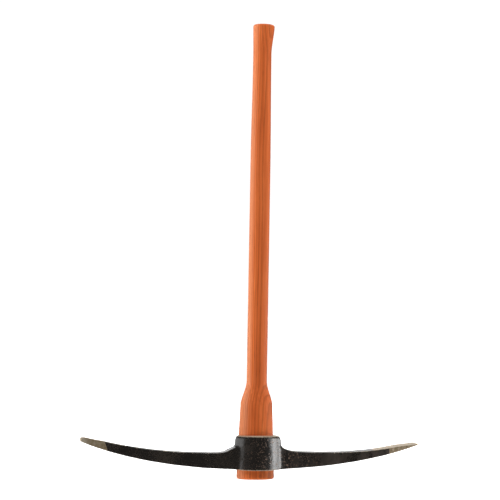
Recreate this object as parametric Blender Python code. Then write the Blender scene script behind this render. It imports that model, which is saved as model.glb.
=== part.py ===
"""A navvy pick: a forged head with a point and a chisel, jammed on the flared butt of a wooden handle.

Metres, +Z up. The origin is the middle of the handle's butt end, which the pick stands on.
+Z runs up the handle to the grip, -X is the point's side and +X the chisel's side.
The head comes off along +Z, over the grip end: its eye is tapered like the butt inside it.
"""

import math

import bmesh
import bpy
from mathutils import Vector

COLLECTION = "pickaxe"
CUTTERS = "pickaxe_cutters"

# Handle: half length along X and half depth along Y of its oval section, at heights up the stick.
HANDLE_LENGTH = 0.914
BUTT_HALF = Vector((0.0384, 0.0257))
BUTT_ROUNDING = 0.005
BUTT_TAPER = 0.0386
BUTT_RATIO = BUTT_HALF.y / BUTT_HALF.x
SHOULDER_START = 0.145
SHOULDER_END = 0.196
NECK_HALF = Vector((0.0206, 0.0172))
GRIP_START = 0.62
GRIP_HALF = Vector((0.0188, 0.0156))
FLARE_START = 0.855
FLARE_HALF = Vector((0.0220, 0.0184))
FLARE_SHIFT = 0.0025
GRIP_ROUNDING = 0.004
HANDLE_SIDES = 48

# Head: the collar round the eye. Its outside is wider at the butt end, as the eye is.
COLLAR_BOTTOM = 0.0185
COLLAR_TOP = 0.087
COLLAR_SHIFT = 0.0045
COLLAR_HALF_BOTTOM = 0.0492
COLLAR_HALF_TOP = 0.0462
COLLAR_DEPTH_RATIO = 0.70
COLLAR_TOP_ROUNDING = 0.0065
COLLAR_BOTTOM_ROUNDING = 0.0015
COLLAR_SIDES = 64
EYE_GAP = 0.0003
CUT_MARGIN = 0.01

# Tines. Both have the same underside, one smooth bow: height = BOW_LOW + BOW_2 x^2 + BOW_4 x^4.
BOW_LOW = 0.0190
BOW_2 = 0.34
BOW_4 = 0.90
TINE_INNER = 0.040
TINE_CHAMFER = 0.22
TINE_STEPS = 22
WEB_START = 0.045
POINT_WEB = (0.028, 0.0118)
CHISEL_WEB = (0.036, 0.0112)

# The point: width and height at its root, where its ground end starts, and at its nose.
POINT_REACH = 0.3514
POINT_GROUND = 0.300
POINT_WIDTH = (0.031, 0.0175, 0.0136)
POINT_HEIGHT = (0.0339, 0.0175, 0.0130)
NOSE_LENGTH = 0.022
NOSE_SIZE = 0.30
NOSE_LIFT = 0.10

# The chisel: width at its root and its edge, where it flares, and height at its root, where its
# ground end starts, where the edge's bevel starts, and at its edge. Each corner of the edge is a
# quarter oval, along X and Y.
CHISEL_REACH = 0.3365
CHISEL_GROUND = 0.262
CHISEL_BEVEL = 0.298
CHISEL_WIDTH = (0.032, 0.027)
CHISEL_EDGE_WIDTH = 0.042
CHISEL_HEIGHT = (0.0377, 0.0132, 0.0096, 0.0014)
CHISEL_CORNER = (0.006, 0.004)
FLARE_LENGTH = 0.22


def clear_scene():
    for obj in list(bpy.data.objects):
        bpy.data.objects.remove(obj, do_unlink=True)


def new_collection(name):
    collection = bpy.data.collections.new(name)
    bpy.context.scene.collection.children.link(collection)
    return collection


def new_material(name, color, roughness, metallic):
    material = bpy.data.materials.new(name)
    material.use_nodes = True
    shader = material.node_tree.nodes["Principled BSDF"]
    shader.inputs["Base Color"].default_value = (*color, 1.0)
    shader.inputs["Roughness"].default_value = roughness
    shader.inputs["Metallic"].default_value = metallic
    material.diffuse_color = (*color, 1.0)
    return material


def blend(start, end, t):
    return start + (end - start) * t


def ease(t):
    """A smooth step from 0 to 1, level at both ends."""
    t = min(max(t, 0.0), 1.0)
    return t * t * (3.0 - 2.0 * t)


def steps(start, end, count):
    return [blend(start, end, i / count) for i in range(count + 1)]


def loft(name, rings, collection):
    """A closed body through rings of points, which all have the same number of points."""
    bm = bmesh.new()
    loops = [[bm.verts.new(point) for point in ring] for ring in rings]
    sides = len(loops[0])
    for low, high in zip(loops, loops[1:]):
        for i in range(sides):
            j = (i + 1) % sides
            bm.faces.new((low[i], low[j], high[j], high[i]))
    bm.faces.new(list(reversed(loops[0])))
    bm.faces.new(loops[-1])
    bmesh.ops.recalc_face_normals(bm, faces=bm.faces)
    mesh = bpy.data.meshes.new(name)
    bm.to_mesh(mesh)
    bm.free()
    obj = bpy.data.objects.new(name, mesh)
    collection.objects.link(obj)
    return obj


def smooth(obj, degrees=35.0):
    obj.data.shade_smooth()
    obj.data.set_sharp_from_angle(angle=math.radians(degrees))


def boolean(obj, cutter, operation):
    modifier = obj.modifiers.new(f"{operation.lower()}_{cutter.name}", "BOOLEAN")
    modifier.operation = operation
    modifier.solver = "EXACT"
    modifier.object = cutter
    cutter.hide_render = True
    cutter.display_type = "WIRE"


def oval(half_x, half_y, z, sides):
    angles = [2.0 * math.pi * i / sides for i in range(sides)]
    return [Vector((half_x * math.cos(a), half_y * math.sin(a), z)) for a in angles]


def butt_half(z):
    """Half sizes of the oval butt, a straight taper that the eye follows."""
    half_x = BUTT_HALF.x - BUTT_TAPER * z
    return Vector((half_x, half_x * BUTT_RATIO))


def handle_half(z):
    """Half sizes of the handle's oval section at height z."""
    if z <= SHOULDER_START:
        return butt_half(z)
    if z <= SHOULDER_END:
        t = (z - SHOULDER_START) / (SHOULDER_END - SHOULDER_START)
        return blend(butt_half(z), NECK_HALF, ease(t))
    if z <= FLARE_START:
        t = (z - GRIP_START) / (FLARE_START - GRIP_START)
        return blend(NECK_HALF, GRIP_HALF, ease(t))
    t = (z - FLARE_START) / (HANDLE_LENGTH - FLARE_START)
    return blend(GRIP_HALF, FLARE_HALF, ease(t))


def handle_heights():
    """Where the sections stand: close together at the rounded ends, the shoulder and the flare."""
    quarter = [math.radians(angle) for angle in (0, 30, 60, 90)]
    butt = [BUTT_ROUNDING * (1.0 - math.cos(angle)) for angle in quarter]
    top = [HANDLE_LENGTH - GRIP_ROUNDING * (1.0 - math.cos(angle)) for angle in reversed(quarter)]
    taper = steps(BUTT_ROUNDING, SHOULDER_START, 3)[1:]
    shoulder = steps(SHOULDER_START, SHOULDER_END, 10)[1:]
    grip = steps(SHOULDER_END, FLARE_START, 8)[1:]
    flare = steps(FLARE_START, HANDLE_LENGTH - GRIP_ROUNDING, 5)[1:-1]
    return butt + taper + shoulder + grip + flare + top


def grip_shift(z):
    """How far the flare at the grip end leans towards the chisel's side."""
    return FLARE_SHIFT * ease((z - FLARE_START) / (HANDLE_LENGTH - FLARE_START))


def end_inset(z):
    """How far the rounded corner at either end of the handle draws its outline in."""
    for depth, rounding in ((z, BUTT_ROUNDING), (HANDLE_LENGTH - z, GRIP_ROUNDING)):
        if depth < rounding:
            return rounding - math.sqrt(rounding**2 - (rounding - depth) ** 2)
    return 0.0


def make_handle(collection):
    rings = []
    for z in handle_heights():
        half = handle_half(z)
        inset = end_inset(z)
        ring = oval(half.x - inset, half.y - inset, z, HANDLE_SIDES)
        rings.append([point + Vector((grip_shift(z), 0.0, 0.0)) for point in ring])
    obj = loft("handle", rings, collection)
    smooth(obj)
    obj.data.materials.append(new_material("handle_wood", (0.50, 0.135, 0.045), 0.45, 0.0))
    return obj


def bow(x):
    """Height of the tines' underside."""
    return BOW_LOW + BOW_2 * x**2 + BOW_4 * x**4


def web(x, reach, rise):
    """The fillet that carries a tine's top edge up into the collar."""
    t = (WEB_START + reach - x) / reach
    return rise * min(max(t, 0.0), 1.0) ** 2


def tine_section(side, x, width, height, rise):
    """A rectangle with cut corners, standing across X on the underside's bow."""
    low = bow(x)
    high = low + height + rise
    half = width / 2.0
    cut = TINE_CHAMFER * min(width, height) / 2.0
    outline = [
        (-half, low + cut),
        (-half + cut, low),
        (half - cut, low),
        (half, low + cut),
        (half, high - cut),
        (half - cut, high),
        (-half + cut, high),
        (-half, high - cut),
    ]
    return [Vector((side * x, y, z)) for y, z in outline]


def tapered(x, places, values):
    """The value at x of a taper that has its values at those places."""
    i = sum(x > place for place in places[1:-1])
    return blend(values[i], values[i + 1], (x - places[i]) / (places[i + 1] - places[i]))


def point_sections():
    """The -X tine: a long square taper, a steeper one where it is ground, and a blunt round nose."""
    places = (TINE_INNER, POINT_GROUND, POINT_REACH - NOSE_LENGTH)
    rings = []
    for x in steps(places[0], places[1], TINE_STEPS) + steps(places[1], places[2], 2)[1:]:
        width = tapered(x, places, POINT_WIDTH)
        height = tapered(x, places, POINT_HEIGHT)
        rings.append(tine_section(-1, x, width, height, web(x, *POINT_WEB)))
    for turn in (25, 45, 62, 76, 86):
        x = places[2] + NOSE_LENGTH * math.sin(math.radians(turn))
        size = blend(NOSE_SIZE, 1.0, math.cos(math.radians(turn)))
        lift = Vector((0.0, 0.0, POINT_HEIGHT[2] * (1.0 - size) * NOSE_LIFT))
        ring = tine_section(-1, x, POINT_WIDTH[2] * size, POINT_HEIGHT[2] * size, 0.0)
        rings.append([point + lift for point in ring])
    return rings


def chisel_width(x):
    """The chisel's width across Y: a slight taper, the flare, and the edge's round corners."""
    base = blend(*CHISEL_WIDTH, (x - TINE_INNER) / (CHISEL_REACH - TINE_INNER))
    flare = ease((x - CHISEL_REACH + FLARE_LENGTH) / FLARE_LENGTH)
    along, across = CHISEL_CORNER
    t = max((x - CHISEL_REACH + along) / along, 0.0)
    return blend(base, CHISEL_EDGE_WIDTH, flare) - 2.0 * across * (1.0 - math.sqrt(1.0 - t**2))


def chisel_sections():
    """The +X tine: a long taper, steeper ones where it is ground, and an edge across Y."""
    places = (TINE_INNER, CHISEL_GROUND, CHISEL_BEVEL, CHISEL_REACH)
    corner = CHISEL_REACH - CHISEL_CORNER[0]
    straight = steps(places[0], places[1], TINE_STEPS)
    straight += steps(places[1], places[2], 2)[1:] + steps(places[2], corner, 2)[1:]
    turns = [math.radians(turn) for turn in (25, 48, 66, 80)]
    rings = []
    for x in straight + [corner + CHISEL_CORNER[0] * math.sin(turn) for turn in turns]:
        height = tapered(x, places, CHISEL_HEIGHT)
        rings.append(tine_section(1, x, chisel_width(x), height, web(x, *CHISEL_WEB)))
    return rings


def collar_rings():
    """Oval sections from the butt end up, with rounded rims."""
    rings = []
    quarter = [math.radians(angle) for angle in (0, 30, 60, 90)]
    rims = [(COLLAR_BOTTOM, 1, COLLAR_BOTTOM_ROUNDING, quarter)]
    rims.append((COLLAR_TOP, -1, COLLAR_TOP_ROUNDING, list(reversed(quarter))))
    for rim, inward, rounding, angles in rims:
        for angle in angles:
            z = rim + inward * rounding * (1.0 - math.cos(angle))
            inset = rounding * (1.0 - math.sin(angle))
            t = (z - COLLAR_BOTTOM) / (COLLAR_TOP - COLLAR_BOTTOM)
            half = blend(COLLAR_HALF_BOTTOM, COLLAR_HALF_TOP, t)
            ring = oval(half - inset, half * COLLAR_DEPTH_RATIO - inset, z, COLLAR_SIDES)
            rings.append([point + Vector((COLLAR_SHIFT, 0.0, 0.0)) for point in ring])
    return rings


def eye_rings():
    """The butt's own taper and a little room, run past both rims of the collar."""
    rings = []
    for z in (COLLAR_BOTTOM - CUT_MARGIN, COLLAR_TOP + CUT_MARGIN):
        half = butt_half(z)
        rings.append(oval(half.x + EYE_GAP, half.y + EYE_GAP, z, HANDLE_SIDES))
    return rings


def make_head(collection, cutters):
    head = loft("pick_head", collar_rings(), collection)
    for name, rings in (("point_tine", point_sections()), ("chisel_tine", chisel_sections())):
        boolean(head, loft(name, rings, cutters), "UNION")
    boolean(head, loft("eye", eye_rings(), cutters), "DIFFERENCE")
    smooth(head)
    head.data.materials.append(new_material("black_lacquer", (0.022, 0.018, 0.015), 0.35, 0.6))
    return head


def main():
    clear_scene()
    collection = new_collection(COLLECTION)
    cutters = new_collection(CUTTERS)
    make_handle(collection)
    make_head(collection, cutters)


main()
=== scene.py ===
"""Looks of the navvy pick: a black-lacquered forging with ground ends, on an orange-brown wooden stick.

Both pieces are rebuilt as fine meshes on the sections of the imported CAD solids, so they keep its
sizes. Metres, in the frame's axes: +Z up the handle, -X the point, +X the chisel.
"""

import math

import bmesh
import bpy
import numpy as np
from mathutils import Matrix, Vector, noise


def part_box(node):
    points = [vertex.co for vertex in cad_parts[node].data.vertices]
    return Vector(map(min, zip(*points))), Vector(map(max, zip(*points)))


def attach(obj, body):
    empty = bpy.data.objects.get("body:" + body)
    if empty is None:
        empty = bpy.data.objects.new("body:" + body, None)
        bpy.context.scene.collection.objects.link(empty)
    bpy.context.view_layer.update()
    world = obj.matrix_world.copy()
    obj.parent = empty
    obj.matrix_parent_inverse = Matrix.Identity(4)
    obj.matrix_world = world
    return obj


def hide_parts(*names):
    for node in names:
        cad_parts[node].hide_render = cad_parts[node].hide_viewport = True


# Handle: points round it, the gap between its rings and how many it has in the last stretch at each
# end, and the shares of the end's size that its flat face has rings at.
HANDLE_SIDES = 96
RING_GAP = 0.0027
END_LENGTH = 0.012
END_RINGS = 14
END_FACE = (0.93, 0.8, 0.64, 0.48, 0.32, 0.16)
# A gap between two of the CAD's sections that is longer than this is a straight stretch.
LONG_GAP = 0.1
# Its shaved surface: depth of the slow waves and of the flats, and how many flats go round.
SHAVE_WAVE = 0.00022
SHAVE_FLAT = 0.00012
SHAVE_FLATS = 14.0
# Small knocks on the grip, with the least and most of their radius and depth.
DENT_COUNT = 34
DENT_SEED = 11
DENT_START = 0.12
DENT_RADIUS = (0.002, 0.006)
DENT_DEPTH = (0.00012, 0.0005)

# Head: the collar's outside is an oval about its own centre, a little towards the chisel.
COLLAR_CENTRE = 0.0045
COLLAR_DEPTH_RATIO = 0.70
COLLAR_TAPER = 0.061
EYE_GAP = 0.0003
# Its cage: degrees between the collar's columns, rounding of the top rim at the front and towards the
# tines, how far out each tine's own sections start and how far they are doubled.
TURN = 15
RIM_ROUNDING = (0.0025, 0.0080)
FIRST_SECTION = {1: 0.058, -1: 0.050}
WEB_END = 0.080
# From the point's first section to one close beside the collar: out, half width, underside, top.
POINT_ROOT_STEP = (-0.0048, 0.0, -0.0002, 0.0024)
# How far a tine's corners are cut, as a share of its thickness, and how full its sides are.
ROOT_CORNER = 0.36
LACQUERED_CORNER = 0.30
GROUND_CORNER = 0.14
BELLY = 1.02
SUBDIVISION = 3
# The forging's skin: its waves, pits and nicks, and how far all of it is drawn in.
WAVE = 0.00034
FINE_WAVE = 0.00012
PIT = 0.0007
SKIN_INSET = 0.0001
NICK = 0.0005
NICK_CHANGE = 0.0007
EDGE_ZONE = 0.006
NOSE_ZONE = 0.004

# Where the lacquer stops and the ground steel starts.
POINT_BARE = -0.3003
CHISEL_BARE = 0.274
CHISEL_TOP_BARE = 0.243

# Camera: seen from the point's side, a little above the head and below the middle of the handle.
VIEW_AZIMUTH = math.radians(-13.0)
VIEW_DISTANCE = 2.8
CAMERA_HEIGHT = 0.305
AIM_HEIGHT = 0.4565
AIM_LEFT = 0.0181
CAMERA_ROLL = math.radians(1.00)
LENS = 100.35

# Soft lamps: name, azimuth to the right of the camera, elevation, distance, width, height, radiance.
LAMPS = (
    ("left_high", -74.0, 42.0, 2.4, 2.0, 1.7, 4.7),
    ("left_low", -74.0, -38.0, 2.4, 1.8, 1.4, 6.6),
    ("right_high", 84.0, 42.0, 2.4, 1.6, 1.4, 6.0),
    ("right_low", 84.0, -38.0, 2.4, 1.6, 1.2, 5.2),
    ("back", 180.0, 0.0, 2.6, 1.4, 1.2, 3.2),
    ("top_front", -8.0, 58.0, 2.4, 2.2, 1.4, 2.5),
    ("low_front", -8.0, -42.0, 2.4, 1.6, 0.8, 2.7),
)
# Cards, laid out the same way, which are only mirrored in the lacquer and the steel.
CARDS = (
    ("left_card", -72.0, -4.0, 2.4, 1.8, 1.6, 1.8),
    ("left_rear_card", -116.0, -4.0, 2.4, 2.2, 1.6, 1.3),
    ("right_card", 78.0, -7.0, 2.4, 0.95, 1.0, 8.6),
    ("right_rear_card", 112.0, -7.0, 2.4, 1.9, 1.0, 4.4),
    ("back_card", 180.0, 10.0, 2.6, 2.4, 1.0, 1.5),
)
# How bright the lamps are when mirrored, as a share of what they give as light.
GLOSS_SHARE = 0.65
AMBIENT = 0.07
FLOOR_REACH = 30.0


# ---------------------------------------------------------------- frame

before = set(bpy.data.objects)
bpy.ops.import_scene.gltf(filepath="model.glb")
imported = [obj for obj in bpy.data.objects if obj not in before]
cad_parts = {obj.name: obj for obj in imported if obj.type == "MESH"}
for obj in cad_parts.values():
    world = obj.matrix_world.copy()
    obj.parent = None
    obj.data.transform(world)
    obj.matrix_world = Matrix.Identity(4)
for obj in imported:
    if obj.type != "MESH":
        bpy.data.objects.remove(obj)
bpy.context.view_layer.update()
head_low, head_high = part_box("pick_head")


def cad_points(node):
    """A CAD node's vertices, one row each."""
    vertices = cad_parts[node].data.vertices
    points = np.empty(len(vertices) * 3, np.float32)
    vertices.foreach_get("co", points)
    return points.reshape(-1, 3).astype(float)


def sections(points, axis):
    """The places along an axis where a CAD loft has its rings, each with that ring's points."""
    places = np.round(points[:, axis], 5)
    return [(place, points[places == place]) for place in np.unique(places)]


# ---------------------------------------------------------------- shapes


def mix(a, b, t):
    return a + (b - a) * t


def ease(t):
    t = np.clip(t, 0.0, 1.0)
    return t * t * (3.0 - 2.0 * t)


def curve_through(places, values, wanted):
    """Values on a smooth curve through the given rows that never overshoots them."""
    gaps = np.diff(places)
    rises = np.diff(values, axis=0) / gaps[:, None]
    product = rises[:-1] * rises[1:]
    total = np.where(product > 0.0, rises[:-1] + rises[1:], 1.0)
    inner = np.where(product > 0.0, 2.0 * product / total, 0.0)
    slopes = np.vstack([rises[:1], inner, rises[-1:]])
    i = np.clip(np.searchsorted(places, wanted) - 1, 0, len(gaps) - 1)
    gap = gaps[i][:, None]
    t = ((wanted - places[i]) / gaps[i])[:, None]
    start = (1.0 + 2.0 * t) * (1.0 - t) ** 2 * values[i] + t * (1.0 - t) ** 2 * gap * slopes[i]
    end = t * t * (3.0 - 2.0 * t) * values[i + 1] + t * t * (t - 1.0) * gap * slopes[i + 1]
    return start + end


def kept_straight(rows):
    """The sections, and two more in each long gap, so that a curve through them is straight there."""
    long_gaps = np.flatnonzero(np.diff(rows[:, 2]) > LONG_GAP)
    added = [mix(rows[i], rows[i + 1], share) for i in long_gaps for share in (0.04, 0.96)]
    rows = np.vstack([rows, *added])
    return rows[np.argsort(rows[:, 2])]


def handle_sections():
    """Half length, half depth, height and shift along X of the CAD's oval sections, butt end first."""
    rows = []
    for height, ring in sections(cad_points("handle"), 2):
        low, high = ring[:, 0].min(), ring[:, 0].max()
        rows.append(((high - low) / 2.0, abs(ring[:, 1]).max(), height, (high + low) / 2.0))
    return kept_straight(np.array(rows))


def close_sections(rows):
    """Sections close together, on a smooth curve through the given ones."""
    along = np.concatenate([[0.0], np.cumsum(np.linalg.norm(np.diff(rows, axis=0), axis=1))])
    end = along[-1]
    butt = np.linspace(0.0, END_LENGTH, END_RINGS)[:-1]
    middle = np.linspace(END_LENGTH, end - END_LENGTH, round(end / RING_GAP))
    grip = np.linspace(end - END_LENGTH, end, END_RINGS)[1:]
    return curve_through(along, rows, np.concatenate([butt, middle, grip]))


def eye_half(height):
    """Half length and half depth of the eye at a height: the butt's own taper and a little room."""
    heights = handle_rows[:, 2]
    return [np.interp(height, heights, handle_rows[:, axis]) + EYE_GAP for axis in (0, 1)]


def new_object(name, points, faces):
    mesh = bpy.data.meshes.new(name)
    mesh.from_pydata([tuple(point) for point in points], [], faces)
    mesh.validate()
    obj = bpy.data.objects.new(name, mesh)
    bpy.context.scene.collection.objects.link(obj)
    return obj


def dents(low, high):
    """Heights, angles, radii and depths of small knocks on the wood."""
    draw = np.random.default_rng(DENT_SEED)
    knocks = []
    for _ in range(DENT_COUNT):
        place = (draw.uniform(low, high), draw.uniform(0.0, 2.0 * math.pi))
        knocks.append((*place, draw.uniform(*DENT_RADIUS), draw.uniform(*DENT_DEPTH)))
    return knocks


def wood_inset(angle, height, half, knocks):
    """How far the shaved surface lies inside the true oval: slow waves, flats of the shave, knocks."""
    turn = Vector((math.cos(angle), math.sin(angle), height * 7.0))
    wave = SHAVE_WAVE * (0.5 + 0.5 * noise.noise(turn * 1.7))
    flats = SHAVE_FLAT * (0.5 + 0.5 * math.cos(SHAVE_FLATS * angle + 3.0 * noise.noise(turn)))
    inset = wave + flats
    for knock_height, knock_angle, radius, depth in knocks:
        rise = height - knock_height
        if abs(rise) < 3.0 * radius:
            swing = math.remainder(angle - knock_angle, 2.0 * math.pi) * half
            inset += depth * math.exp(-(rise * rise + swing * swing) / (radius * radius))
    return inset


def make_handle(rows):
    """A lofted stick with closed, finely divided ends."""
    top = rows[-1][2]
    knocks = dents(DENT_START, top - 0.02)
    angles = [2.0 * math.pi * i / HANDLE_SIDES for i in range(HANDLE_SIDES)]
    points, faces = [], []
    rings = [(rows[0][0] * share, rows[0][1] * share, *rows[0][2:]) for share in reversed(END_FACE)]
    first_wall = len(rings)
    rings += [tuple(row) for row in rows]
    wall_end = len(rings)
    rings += [(rows[-1][0] * share, rows[-1][1] * share, *rows[-1][2:]) for share in END_FACE]
    for index, (half_x, half_y, height, shift) in enumerate(rings):
        wall = first_wall <= index < wall_end
        for angle in angles:
            inset = wood_inset(angle, height, (half_x + half_y) / 2.0, knocks) if wall else 0.0
            x = shift + (half_x - inset) * math.cos(angle)
            y = (half_y - inset) * math.sin(angle)
            points.append((x, y, height))
    for ring in range(len(rings) - 1):
        for i in range(HANDLE_SIDES):
            j = (i + 1) % HANDLE_SIDES
            low, high = ring * HANDLE_SIDES, (ring + 1) * HANDLE_SIDES
            faces.append((low + i, low + j, high + j, high + i))
    for ring, flip in ((0, True), (len(rings) - 1, False)):
        centre = len(points)
        points.append((rings[ring][3], 0.0, rings[ring][2]))
        for i in range(HANDLE_SIDES):
            pair = (ring * HANDLE_SIDES + i, ring * HANDLE_SIDES + (i + 1) % HANDLE_SIDES)
            faces.append((*(reversed(pair) if flip else pair), centre))
    obj = new_object("handle_stick", points, faces)
    obj.data.shade_smooth()
    obj.data.set_sharp_from_angle(angle=math.radians(50.0))
    return obj


# ---------------------------------------------------------------- head


def tine_rows(side):
    """Distance out, half width, underside and top of each section of one tine, root first.

    They are the CAD's own, with more between them near the root and one close to the end, so that
    subdivision keeps the web's hollow and the end's place. The point also gets one beside the collar.
    """
    rows = []
    for place, ring in sections(cad_points("pick_head"), 0):
        if place * side > FIRST_SECTION[side]:
            rows.append((abs(place), abs(ring[:, 1]).max(), ring[:, 2].min(), ring[:, 2].max()))
    rows = np.array(sorted(rows))
    near_root = rows[:-1, 0] < WEB_END
    between = ((rows[:-1] + rows[1:]) / 2.0)[near_root]
    close = mix(rows[-2], rows[-1], 0.85)[None, :]
    rows = np.vstack([rows, between, close])
    if side < 0:
        rows = np.vstack([rows, rows[0] + POINT_ROOT_STEP])
    return rows[np.argsort(rows[:, 0])]


def tine_ring(side, out, half, low, high, corner):
    """Sixteen cage points round a tine's section: five below, three up, five above, three down."""
    cut = corner * min(2.0 * half, high - low) / 2.0
    across = [-half, -half + cut, 0.0, half - cut, half]
    up = [low, low + cut, (low + high) / 2.0, high - cut, high]
    sides = [(half, up[1]), (half * BELLY, up[2]), (half, up[3])]
    ring = [(y, low) for y in across] + sides
    ring += [(y, high) for y in reversed(across)]
    ring += [(-y, z) for y, z in reversed(sides)]
    return [Vector((side * out, y, z)) for y, z in ring]


def cap_grid(bm, ring):
    """Closes a tine's last ring of sixteen with a four by four grid."""
    rows = [ring[0:5], [ring[15], None, None, None, ring[5]], [ring[14], None, None, None, ring[6]]]
    rows += [[ring[13], None, None, None, ring[7]], list(reversed(ring[8:13]))]
    for r in (1, 2, 3):
        left, right = rows[r][0].co, rows[r][4].co
        for c in (1, 2, 3):
            height = rows[r][0].co.z
            rows[r][c] = bm.verts.new((left.x, rows[0][c].co.y, height))
    for r in range(4):
        for c in range(4):
            bm.faces.new((rows[r][c], rows[r][c + 1], rows[r + 1][c + 1], rows[r + 1][c]))


def collar_half(height):
    """Half length and half depth of the collar's outside at a height."""
    t = (height - head_low.z) / (head_high.z - head_low.z)
    depth = head_high.y * (1.0 - COLLAR_TAPER * t)
    return depth / COLLAR_DEPTH_RATIO, depth


def collar_cage(bm):
    """The collar as quads round the eye, open where the tines leave. Returns its columns of points."""
    turns = [math.radians(i * TURN) for i in range(-2, 360 // TURN - 2)]
    grow = 6.0 / (4.0 + 2.0 * math.cos(math.radians(TURN)))
    low, high = head_low.z, head_high.z
    tall = high - low
    outside = [low, low + 0.0025, low + 0.31 * tall, low + 0.585 * tall, low + 0.675 * tall]
    outside += [low + 0.78 * tall, high - 1.35 * RIM_ROUNDING[1]]
    inside = [high - 0.0022, high - 0.0085, low + 0.5 * tall, low + 0.0075, low + 0.0018]

    def on_oval(half, turn, height=0.0, centre=0.0):
        """A cage point that puts the subdivided surface on an oval."""
        x = centre + half[0] * grow * math.cos(turn)
        return Vector((x, half[1] * grow * math.sin(turn), height))

    def lift(height, turn):
        """The rims are highest and lowest at the front and back, and ease off towards the tines."""
        sway = math.cos(turn) ** 2
        return height + 0.0010 * sway * (height < low + 0.004) - 0.0008 * sway * (height > high - 0.009)

    def round_rim(wall, eye, rounding):
        """Four points round a quarter turn from the top of the wall to the flat rim."""
        room = eye - wall
        inward = room.normalized() * min(rounding, 0.90 * room.length)
        arc = []
        for angle in (0.0, 30.0, 60.0, 90.0):
            turned = math.radians(angle)
            drop = Vector((0.0, 0.0, rounding * (1.0 - math.sin(turned))))
            arc.append(wall + inward * (1.0 - math.cos(turned)) - drop)
        return arc

    columns = []
    for turn in turns:
        column = []
        for height in outside:
            column.append(on_oval(collar_half(height), turn, lift(height, turn), COLLAR_CENTRE))
        wall = on_oval(collar_half(high), turn, centre=COLLAR_CENTRE)
        eye_top = on_oval(eye_half(high), turn)
        eye_low = on_oval(eye_half(low), turn)
        rounding = mix(*RIM_ROUNDING, abs(math.cos(turn)))
        for point in round_rim(wall, eye_top, rounding) + [mix(wall, eye_top, 0.93), eye_top]:
            column.append(Vector((point.x, point.y, lift(high, turn) + point.z)))
        for height in inside:
            column.append(on_oval(eye_half(height), turn, height))
        for share in (1.0, 0.86, 0.16):
            flat = mix(column[0], eye_low, share)
            column.append(Vector((flat.x, flat.y, lift(low, turn))))
        columns.append([bm.verts.new(point) for point in column])
    count = len(columns)
    tall_count = len(columns[0])
    for i in range(count):
        j = (i + 1) % count
        for k in range(tall_count):
            n = (k + 1) % tall_count
            tine = k < 4 and (i < 4 or 12 <= i < 16)
            if not tine:
                bm.faces.new((columns[i][k], columns[j][k], columns[j][n], columns[i][n]))
    return columns


def tine_cage(bm, columns, side, crisp_from):
    """Sweeps a tine out of the gap in the collar's outside, along the CAD's own sections."""
    patch = columns[0:5] if side > 0 else list(reversed(columns[12:17]))
    root = [column[0] for column in patch] + [patch[4][k] for k in (1, 2, 3)]
    root += [column[4] for column in reversed(patch)] + [patch[0][k] for k in (3, 2, 1)]
    last = root
    for out, half, low, high in tine_rows(side):
        corner = mix(LACQUERED_CORNER, GROUND_CORNER, float(ease((out - crisp_from) / 0.01)))
        corner = mix(ROOT_CORNER, corner, float(ease((out - 0.050) / 0.050)))
        ring = [bm.verts.new(point) for point in tine_ring(side, out, half, low, high, corner)]
        for i in range(16):
            j = (i + 1) % 16
            bm.faces.new((last[i], last[j], ring[j], ring[i]))
        last = ring
    cap_grid(bm, last)


def subdivided(obj, levels):
    """The mesh that Subdivision Surface makes of obj, with the cage gone."""
    modifier = obj.modifiers.new("subdivision", "SUBSURF")
    modifier.levels = levels
    modifier.render_levels = levels
    graph = bpy.context.evaluated_depsgraph_get()
    mesh = bpy.data.meshes.new_from_object(obj.evaluated_get(graph))
    obj.modifiers.clear()
    cage = obj.data
    obj.data = mesh
    bpy.data.meshes.remove(cage)
    mesh.name = obj.name
    return mesh


def bareness(point):
    """1 where the steel is ground, 0 under the lacquer, for a point's distances along the head."""
    to_point = ease((POINT_BARE - point.x) / 0.004 + 0.5)
    to_chisel = ease((point.x - CHISEL_BARE) / 0.004 + 0.5)
    return float(max(to_point, to_chisel))


def fit_to_eye(co, normal):
    """Puts a point of the eye's wall on the butt's own taper, and says whether it was one."""
    low, high = head_low.z, head_high.z
    half_x, half_y = eye_half(co.z)
    radius = math.hypot(co.x / half_x, co.y / half_y)
    inward = normal.x * co.x / half_x + normal.y * co.y / half_y
    in_eye = radius < 1.12 and inward < 0.0 and low < co.z < high
    if in_eye:
        fit = float(ease((co.z - low) / 0.005) * ease((high - co.z) / 0.005))
        co.x *= mix(1.0, 1.0 / radius, fit)
        co.y *= mix(1.0, 1.0 / radius, fit)
    return in_eye


def weather(mesh):
    """Forging waves and pits, nicks on the working ends, and the eye fitted to the butt's taper."""
    normals = [vertex.normal.copy() for vertex in mesh.vertices]
    for vertex, normal in zip(mesh.vertices, normals):
        co = vertex.co
        if fit_to_eye(co, normal):
            continue
        rough = 1.0 - 0.8 * bareness(co)
        wave = WAVE * noise.noise(co * 38.0) + FINE_WAVE * noise.noise(co * 130.0 + Vector((3, 5, 7)))
        pit = max(noise.noise(co * 210.0 + Vector((9, 1, 4))) - 0.32, 0.0) * PIT
        vertex.co = co + normal * (wave * rough - pit * rough - SKIN_INSET)
    for vertex in mesh.vertices:
        in_edge = (vertex.co.x - head_high.x + EDGE_ZONE) / EDGE_ZONE
        in_nose = (head_low.x + NOSE_ZONE - vertex.co.x) / NOSE_ZONE
        reach = max(in_edge, in_nose)
        if reach > 0.0:
            place = Vector((vertex.co.y * 160.0, vertex.co.z * 60.0, 2.0))
            nick = NICK + NICK_CHANGE * noise.noise(place)
            vertex.co.x -= math.copysign(min(reach, 1.0) * max(nick, 0.0), vertex.co.x)
    mesh.update()


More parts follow.
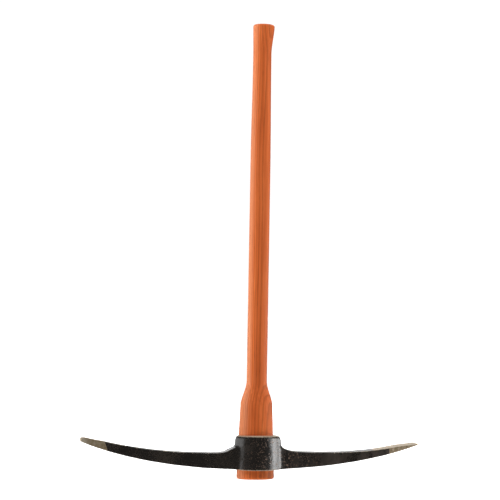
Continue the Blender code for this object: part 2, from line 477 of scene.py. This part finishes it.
def store_wear(mesh):
    """Keeps how convex each place is on the mesh: edges and corners are where lacquer wears."""
    count = len(mesh.vertices)
    points = np.empty(count * 3, np.float32)
    normals = np.empty(count * 3, np.float32)
    mesh.vertices.foreach_get("co", points)
    mesh.vertex_normals.foreach_get("vector", normals)
    points, normals = points.reshape(-1, 3), normals.reshape(-1, 3)
    edges = np.empty(len(mesh.edges) * 2, np.int32)
    mesh.edges.foreach_get("vertices", edges)
    a, b = edges.reshape(-1, 2).T
    gaps = points[b] - points[a]
    lengths = np.linalg.norm(gaps, axis=1) ** 2
    bend = np.zeros(count)
    shares = np.zeros(count)
    np.add.at(bend, a, -np.einsum("ij,ij->i", gaps, normals[a]) / lengths)
    np.add.at(bend, b, np.einsum("ij,ij->i", gaps, normals[b]) / lengths)
    np.add.at(shares, a, 1.0)
    np.add.at(shares, b, 1.0)
    bend /= np.maximum(shares, 1.0)
    for _ in range(3):
        spread = bend.copy()
        np.add.at(spread, a, bend[b])
        np.add.at(spread, b, bend[a])
        bend = spread / (shares + 1.0)
    attribute = mesh.attributes.new("wear", "FLOAT", "POINT")
    attribute.data.foreach_set("value", np.clip(bend / 220.0, 0.0, 1.0).astype(np.float32))


def make_head():
    bm = bmesh.new()
    columns = collar_cage(bm)
    tine_cage(bm, columns, 1, CHISEL_BARE)
    tine_cage(bm, columns, -1, -POINT_BARE)
    bmesh.ops.recalc_face_normals(bm, faces=bm.faces)
    cage = bpy.data.meshes.new("forged_head")
    bm.to_mesh(cage)
    bm.free()
    obj = bpy.data.objects.new("forged_head", cage)
    bpy.context.scene.collection.objects.link(obj)
    mesh = subdivided(obj, SUBDIVISION)
    weather(mesh)
    store_wear(mesh)
    mesh.shade_smooth()
    return obj


# ---------------------------------------------------------------- materials


class Graph:
    """A material's node tree, with short calls for the few kinds of node used here."""

    def __init__(self, name):
        self.material = bpy.data.materials.new(name)
        self.material.use_nodes = True
        self.tree = self.material.node_tree
        self.shader = self.tree.nodes["Principled BSDF"]
        self.place = self.node("ShaderNodeTexCoord").outputs["Object"]

    def node(self, kind, inputs=None, **settings):
        made = self.tree.nodes.new(kind)
        for key, value in settings.items():
            setattr(made, key, value)
        for key, value in (inputs or {}).items():
            self.feed(made.inputs[key], value)
        return made

    def feed(self, socket, value):
        if isinstance(value, bpy.types.NodeSocket):
            self.tree.links.new(value, socket)
        else:
            socket.default_value = value

    def math(self, operation, a, b=0.0):
        made = self.node("ShaderNodeMath", {0: a, 1: b}, operation=operation)
        return made.outputs[0]

    def add(self, a, b):
        return self.math("ADD", a, b)

    def times(self, a, b):
        return self.math("MULTIPLY", a, b)

    def highest(self, a, b):
        return self.math("MAXIMUM", a, b)

    def step(self, value, low, high, to_low=0.0, to_high=1.0):
        """A smooth step as value goes from low to high."""
        inputs = {"Value": value, "From Min": low, "From Max": high}
        inputs.update({"To Min": to_low, "To Max": to_high})
        made = self.node("ShaderNodeMapRange", inputs, interpolation_type="SMOOTHSTEP")
        return made.outputs["Result"]

    def stretched(self, scale, offset=(0.0, 0.0, 0.0)):
        inputs = {"Vector": self.place, "Scale": scale, "Location": offset}
        return self.node("ShaderNodeMapping", inputs).outputs["Vector"]

    def noise(self, scale, detail=2.0, roughness=0.5, distortion=0.0, offset=(0.0, 0.0, 0.0)):
        """Noise in cells of 1/scale metres, scale given for each axis or for all three."""
        scale = scale if isinstance(scale, tuple) else (scale, scale, scale)
        inputs = {"Vector": self.stretched(scale, offset), "Scale": 1.0, "Detail": detail}
        inputs.update({"Roughness": roughness, "Distortion": distortion})
        return self.node("ShaderNodeTexNoise", inputs).outputs["Fac"]

    def blend(self, share, a, b, kind="MIX"):
        made = self.node("ShaderNodeMix", data_type="RGBA", blend_type=kind)
        self.feed(made.inputs["Factor"], share)
        self.feed(made.inputs[6], a)
        self.feed(made.inputs[7], b)
        return made.outputs[2]

    def ramp(self, value, stops):
        made = self.node("ShaderNodeValToRGB", {"Fac": value})
        elements = made.color_ramp.elements
        while len(elements) < len(stops):
            elements.new(0.5)
        for element, (place, color) in zip(elements, stops):
            element.position = place
            element.color = color
        return made.outputs["Color"]

    def bump(self, height, distance, strength=1.0, under=None):
        inputs = {"Height": height, "Distance": distance, "Strength": strength}
        if under is not None:
            inputs["Normal"] = under
        return self.node("ShaderNodeBump", inputs).outputs["Normal"]


def rgb(r, g, b):
    return (r, g, b, 1.0)


def wood_material():
    g = Graph("oiled_hardwood")
    x, y, z = g.node("ShaderNodeSeparateXYZ", {"Vector": g.place}).outputs
    # Growth rings about a pith outside the stick, bent slowly along the grain.
    drift = g.noise((9.0, 9.0, 2.2), detail=2.0)
    sway = g.times(g.add(drift, -0.5), 0.016)
    from_pith_x = g.add(g.add(x, 0.055), sway)
    from_pith_y = g.add(g.add(y, -0.082), sway)
    squares = g.add(g.times(from_pith_x, from_pith_x), g.times(from_pith_y, from_pith_y))
    rings = g.math("FRACT", g.times(g.math("SQRT", squares), 290.0))
    early = g.times(g.step(rings, 0.0, 0.12), g.step(rings, 0.55, 0.12))
    # Fibres and pores, long along Z.
    fibre = g.noise((620.0, 620.0, 9.0), detail=3.0, roughness=0.65)
    streak = g.noise((120.0, 120.0, 3.0), detail=2.0)
    pore = g.step(g.noise((1500.0, 1500.0, 55.0), detail=1.0), 0.60, 0.70)
    pores = g.times(pore, g.add(g.times(early, 0.85), 0.15))
    patch = g.noise((22.0, 22.0, 6.0), detail=3.0)
    tone = g.add(g.times(fibre, 0.45), g.add(g.times(streak, 0.35), g.times(patch, 0.20)))
    color = g.ramp(
        tone,
        [
            (0.30, rgb(0.40, 0.076, 0.018)),
            (0.47, rgb(0.58, 0.120, 0.030)),
            (0.60, rgb(0.70, 0.168, 0.044)),
            (0.75, rgb(0.80, 0.240, 0.078)),
        ],
    )
    # The side of the stick that faces the point is painted paler, in streaks: a painted sheen.
    facing = g.node("ShaderNodeTexCoord").outputs["Normal"]
    side, _, up = g.node("ShaderNodeSeparateXYZ", {"Vector": facing}).outputs
    point_side_sheen = g.step(g.add(side, g.times(g.add(streak, -0.5), 0.9)), -0.25, -0.95)
    pale = g.blend(fibre, rgb(0.58, 0.195, 0.082), rgb(0.82, 0.395, 0.225))
    color = g.blend(g.times(point_side_sheen, 0.60), color, pale)
    # On that side the early wood is painted less dark too, as part of the same painted sheen.
    early_share = g.times(early, g.add(g.times(point_side_sheen, -0.14), 0.48))
    color = g.blend(early_share, color, rgb(0.32, 0.066, 0.018))
    color = g.blend(g.times(pores, 0.55), color, rgb(0.14, 0.030, 0.010))
    # Where the head jams, the wood is rubbed dark and shiny; grime gathers just above the collar.
    seat = g.times(g.step(z, 0.020, 0.026), g.step(z, 0.086, 0.080))
    scuffs = g.step(g.noise((160.0, 160.0, 30.0), detail=4.0, offset=(4.0, 0.0, 0.0)), 0.42, 0.62)
    color = g.blend(g.times(seat, g.add(g.times(scuffs, 0.45), 0.30)), color, rgb(0.060, 0.030, 0.018))
    grime = g.times(g.step(z, 0.106, 0.088), g.step(g.noise(55.0, detail=4.0), 0.45, 0.75))
    color = g.blend(g.times(grime, 0.35), color, rgb(0.12, 0.045, 0.022))
    # The sawn ends drink more finish and show their rings dark.
    sawn = g.step(g.math("ABSOLUTE", up), 0.75, 0.92)
    end_pores = g.step(g.noise(1100.0, detail=2.0), 0.50, 0.62)
    end_dark = g.times(g.add(g.times(early, 0.6), g.times(end_pores, 0.4)), 0.75)
    end_tone = g.blend(end_dark, rgb(0.50, 0.165, 0.060), rgb(0.16, 0.045, 0.018))
    color = g.blend(g.times(sawn, 0.85), color, end_tone)
    g.feed(g.shader.inputs["Base Color"], color)
    rough = g.add(g.times(fibre, 0.16), g.add(g.times(pores, 0.22), 0.36))
    rough = g.add(rough, g.add(g.times(seat, -0.10), g.times(sawn, 0.22)))
    g.feed(g.shader.inputs["Roughness"], rough)
    height = g.add(g.times(fibre, 0.35), g.add(g.times(pores, -0.9), g.times(early, -0.25)))
    saw = g.noise((28.0, 900.0, 900.0), detail=2.0, offset=(0.0, 3.0, 0.0))
    height = g.add(height, g.times(g.times(saw, sawn), 1.4))
    g.feed(g.shader.inputs["Normal"], g.bump(height, 0.00016, 0.8))
    g.shader.inputs["Coat Weight"].default_value = 0.02
    g.shader.inputs["Coat Tint"].default_value = rgb(1.0, 0.80, 0.62)
    g.shader.inputs["Coat Roughness"].default_value = 0.34
    g.shader.inputs["Coat IOR"].default_value = 1.48
    g.shader.inputs["Specular IOR Level"].default_value = 0.07
    g.shader.inputs["Specular Tint"].default_value = rgb(1.0, 0.62, 0.40)
    return g.material


def head_material():
    g = Graph("lacquered_forging")
    x, y, z = g.node("ShaderNodeSeparateXYZ", {"Vector": g.place}).outputs
    facing = g.node("ShaderNodeTexCoord").outputs["Normal"]
    up = g.node("ShaderNodeSeparateXYZ", {"Vector": facing}).outputs[2]
    wear = g.node("ShaderNodeAttribute", attribute_name="wear").outputs["Fac"]
    # Ground ends: a nearly straight line across the point, and a bevel that runs further back on
    # the chisel's top. The line wanders a little, as dipped or brushed lacquer does.
    wander = g.times(g.add(g.noise(420.0, detail=2.0), -0.5), 0.0022)
    lean = g.times(g.add(z, -0.066), 0.38)
    edge_point = g.add(g.add(x, lean), g.add(wander, -POINT_BARE))
    bare_point = g.step(edge_point, 0.0005, -0.0005)
    back = g.times(g.step(up, 0.55, 0.85), CHISEL_BARE - CHISEL_TOP_BARE)
    edge_chisel = g.add(g.add(x, back), g.add(wander, -CHISEL_BARE))
    bare_chisel = g.step(edge_chisel, -0.0006, 0.0006)
    bare = g.highest(bare_point, bare_chisel)
    # Lacquer: near black and faintly brown, with scale under it; towards the chisel it blooms and is
    # painted paler.
    cloud = g.noise(30.0, detail=4.0, roughness=0.6)
    grit = g.noise(520.0, detail=3.0, roughness=0.6)
    lacquer = g.ramp(
        g.add(g.times(cloud, 0.6), g.times(grit, 0.4)),
        [
            (0.34, rgb(0.0060, 0.0047, 0.0037)),
            (0.52, rgb(0.0115, 0.0090, 0.0070)),
            (0.70, rgb(0.0270, 0.0205, 0.0150)),
        ],
    )
    # Blotchy bands towards the chisel, growing to its end, are painted paler and browner: a painted
    # sheen on that side, where the lacquer also blooms duller.
    bands = g.noise((44.0, 30.0, 22.0), detail=5.0, roughness=0.62, offset=(0.0, 6.0, 2.0))
    bloom_and_sheen = g.times(g.step(x, 0.020, 0.260, 0.15, 1.0), g.step(bands, 0.34, 0.66))
    bloom_and_sheen = g.times(bloom_and_sheen, g.step(x, 0.020, 0.060))
    dull = g.blend(grit, rgb(0.030, 0.023, 0.013), rgb(0.066, 0.045, 0.037))
    lacquer = g.blend(g.times(bloom_and_sheen, 0.85), lacquer, dull)
    # Speckles of rust that break through, mostly on the collar and the chisel tine's root.
    zone = g.times(g.step(x, -0.030, 0.026), g.step(x, 0.150, 0.055))
    zone = g.add(g.times(zone, 0.92), 0.08)
    fleck = g.noise(300.0, detail=2.0, roughness=0.65, offset=(7.0, 2.0, 5.0))
    crowd = g.times(g.add(g.noise(60.0, detail=2.0, offset=(3.0, 9.0, 1.0)), -0.5), 0.30)
    speckle = g.times(g.step(g.add(fleck, crowd), 0.575, 0.655), zone)
    rust = g.ramp(grit, [(0.40, rgb(0.100, 0.062, 0.042)), (0.60, rgb(0.260, 0.160, 0.105))])
    lacquer = g.blend(g.times(speckle, 0.80), lacquer, rust)
    # Chips on the edges show dull steel.
    chip_noise = g.noise(260.0, detail=4.0, roughness=0.7, offset=(1.0, 8.0, 3.0))
    chips_and_rim_highlight = g.step(g.add(g.times(wear, 0.34), chip_noise), 0.79, 0.83)
    chips_and_rim_highlight = g.times(chips_and_rim_highlight, g.step(wear, 0.20, 0.45))
    # The eye's top and bottom rim are scraped to bare steel by the handle being driven in and out, and
    # painted brighter there: a painted highlight along both rim edges.
    wavy_height = g.add(g.times(g.add(chip_noise, -0.5), 0.004), z)
    top_rim = g.step(wavy_height, head_high.z - 0.0030, head_high.z - 0.0018)
    low_rim = g.step(wavy_height, head_low.z + 0.0022, head_low.z + 0.0012)
    from_centre = g.math("ABSOLUTE", g.add(x, -COLLAR_CENTRE))
    rim_wear_and_highlight = g.times(g.highest(top_rim, low_rim), g.step(from_centre, 0.050, 0.044))
    chips_and_rim_highlight = g.highest(chips_and_rim_highlight, g.times(rim_wear_and_highlight, 0.75))
    # Ground steel: olive-grey, scratched across by the wheel, and stained brown by the heat, most of
    # all at the point. The nose is rubbed brighter, and the eye's rim edges get the same brighter steel
    # as a painted highlight.
    wheel = g.noise((1300.0, 45.0, 70.0), detail=3.0, roughness=0.7, distortion=0.1)
    stain = g.noise(120.0, detail=4.0, roughness=0.65, offset=(2.0, 2.0, 2.0))
    steel = g.ramp(
        g.add(g.times(wheel, 0.42), g.times(stain, 0.58)),
        [
            (0.38, rgb(0.27, 0.190, 0.110)),
            (0.50, rgb(0.53, 0.415, 0.270)),
            (0.62, rgb(0.80, 0.675, 0.505)),
        ],
    )
    heat = g.times(g.step(x, -0.20, -0.25), g.add(g.times(stain, 0.6), 0.04))
    steel = g.blend(heat, steel, rgb(0.17, 0.120, 0.055))
    nose_wear_and_rim_highlight = g.highest(g.step(x, -0.330, -0.347), rim_wear_and_highlight)
    steel = g.blend(g.times(nose_wear_and_rim_highlight, 0.45), steel, rgb(0.84, 0.75, 0.62))
    metal = g.highest(bare, chips_and_rim_highlight)
    g.feed(g.shader.inputs["Base Color"], g.blend(metal, lacquer, steel))
    g.feed(g.shader.inputs["Metallic"], g.times(metal, 0.80))
    lacquer_rough = g.add(g.times(cloud, 0.14), g.add(g.times(grit, 0.16), 0.11))
    lacquer_rough = g.add(lacquer_rough, g.times(g.highest(speckle, bloom_and_sheen), 0.20))
    steel_rough = g.add(g.times(wheel, 0.22), 0.33)
    spread = g.node("ShaderNodeMix", {0: metal, 2: lacquer_rough, 3: steel_rough}, data_type="FLOAT")
    g.feed(g.shader.inputs["Roughness"], spread.outputs[0])
    scale = g.noise(140.0, detail=5.0, roughness=0.62, offset=(5.0, 5.0, 0.0))
    # A low seam runs along the middle of both tines, where the forging dies met.
    near_middle = g.step(g.math("ABSOLUTE", y), 0.0022, 0.0008)
    seam = g.times(near_middle, g.step(g.math("ABSOLUTE", x), 0.060, 0.075))
    skin = g.add(scale, g.add(g.times(grit, 0.16), g.times(seam, 0.5)))
    skin = g.add(skin, g.add(g.times(chips_and_rim_highlight, -0.30), g.times(speckle, 0.12)))
    ground = g.times(wheel, 0.12)
    relief = g.node("ShaderNodeMix", {0: bare, 2: skin, 3: ground}, data_type="FLOAT").outputs[0]
    g.feed(g.shader.inputs["Normal"], g.bump(relief, 0.0005, 0.55))
    g.shader.inputs["IOR"].default_value = 1.62
    return g.material


# ---------------------------------------------------------------- studio


def make_floor():
    """A wide pale sheet that the pick stands on."""
    low, high = -FLOOR_REACH, FLOOR_REACH
    corners = [(low, low, 0.0), (high, low, 0.0), (high, high, 0.0), (low, high, 0.0)]
    obj = new_object("floor_sheet", corners, [(0, 1, 2, 3)])
    g = Graph("pale_floor")
    g.shader.inputs["Base Color"].default_value = rgb(0.90, 0.90, 0.90)
    g.shader.inputs["Roughness"].default_value = 0.9
    g.shader.inputs["Specular IOR Level"].default_value = 0.1
    g.shader.inputs["Emission Color"].default_value = rgb(1.0, 1.0, 1.0)
    away = g.node("ShaderNodeVectorMath", {0: g.place}, operation="LENGTH").outputs["Value"]
    g.feed(g.shader.inputs["Emission Strength"], g.step(away, 0.2, 1.1, 0.86, 1.02))
    obj.data.materials.append(g.material)
    obj.visible_diffuse = False
    obj.visible_glossy = False
    obj.visible_shadow = False


def make_world():
    """White to the eye, and a dimmer grey as a light."""
    world = bpy.data.worlds.new("studio")
    bpy.context.scene.world = world
    world.use_nodes = True
    tree = world.node_tree
    background = tree.nodes["Background"]
    background.inputs["Color"].default_value = rgb(1.0, 1.0, 1.0)
    seen = tree.nodes.new("ShaderNodeLightPath").outputs["Is Camera Ray"]
    strength = tree.nodes.new("ShaderNodeMapRange")
    strength.inputs["To Min"].default_value = AMBIENT
    strength.inputs["To Max"].default_value = 1.05
    tree.links.new(seen, strength.inputs["Value"])
    tree.links.new(strength.outputs["Result"], background.inputs["Strength"])


def softbox(name, azimuth, elevation, distance, width, height, radiance):
    """A rectangular lamp aimed at the pick, its azimuth counted to the right from the camera's."""
    turn = VIEW_AZIMUTH - math.pi / 2.0 + math.radians(azimuth)
    rise = math.radians(elevation)
    away = Vector((math.cos(rise) * math.cos(turn), math.cos(rise) * math.sin(turn), math.sin(rise)))
    lamp = bpy.data.lights.new(name, "AREA")
    lamp.shape = "RECTANGLE"
    lamp.size = width
    lamp.size_y = height
    lamp.energy = radiance * math.pi * width * height
    obj = bpy.data.objects.new(name, lamp)
    bpy.context.scene.collection.objects.link(obj)
    obj.location = Vector((0.0, 0.0, 0.40)) + away * distance
    obj.rotation_euler = (-away).to_track_quat("-Z", "Y").to_euler()
    obj.visible_camera = False
    return obj


def make_lights():
    """Each lamp is two: one that only lights and a dimmer one that is only mirrored."""
    for *place, radiance in LAMPS:
        softbox(*place, radiance).visible_glossy = False
        softbox(*place, radiance * GLOSS_SHARE).visible_diffuse = False
    for card in CARDS:
        softbox(*card).visible_diffuse = False


def make_camera():
    data = bpy.data.cameras.new("camera")
    data.lens = LENS
    data.sensor_width = 36.0
    camera = bpy.data.objects.new("camera", data)
    bpy.context.scene.collection.objects.link(camera)
    back = Vector((math.sin(VIEW_AZIMUTH), -math.cos(VIEW_AZIMUTH), 0.0))
    right = Vector((math.cos(VIEW_AZIMUTH), math.sin(VIEW_AZIMUTH), 0.0))
    place = back * VIEW_DISTANCE + Vector((0.0, 0.0, CAMERA_HEIGHT))
    aim = Vector((0.0, 0.0, AIM_HEIGHT)) - right * AIM_LEFT
    turn = (aim - place).to_track_quat("-Z", "Y").to_matrix().to_4x4()
    camera.matrix_world = Matrix.Translation(place) @ turn @ Matrix.Rotation(CAMERA_ROLL, 4, "Z")
    bpy.context.scene.camera = camera


# ---------------------------------------------------------------- scene

handle_rows = handle_sections()
handle = make_handle(close_sections(handle_rows))
handle.data.materials.append(wood_material())
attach(handle, "handle")
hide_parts("handle")

head = make_head()
head.data.materials.append(head_material())
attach(head, "head")
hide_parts("pick_head")

make_floor()
make_world()
make_lights()
make_camera()
bpy.context.scene.view_settings.view_transform = "Standard"
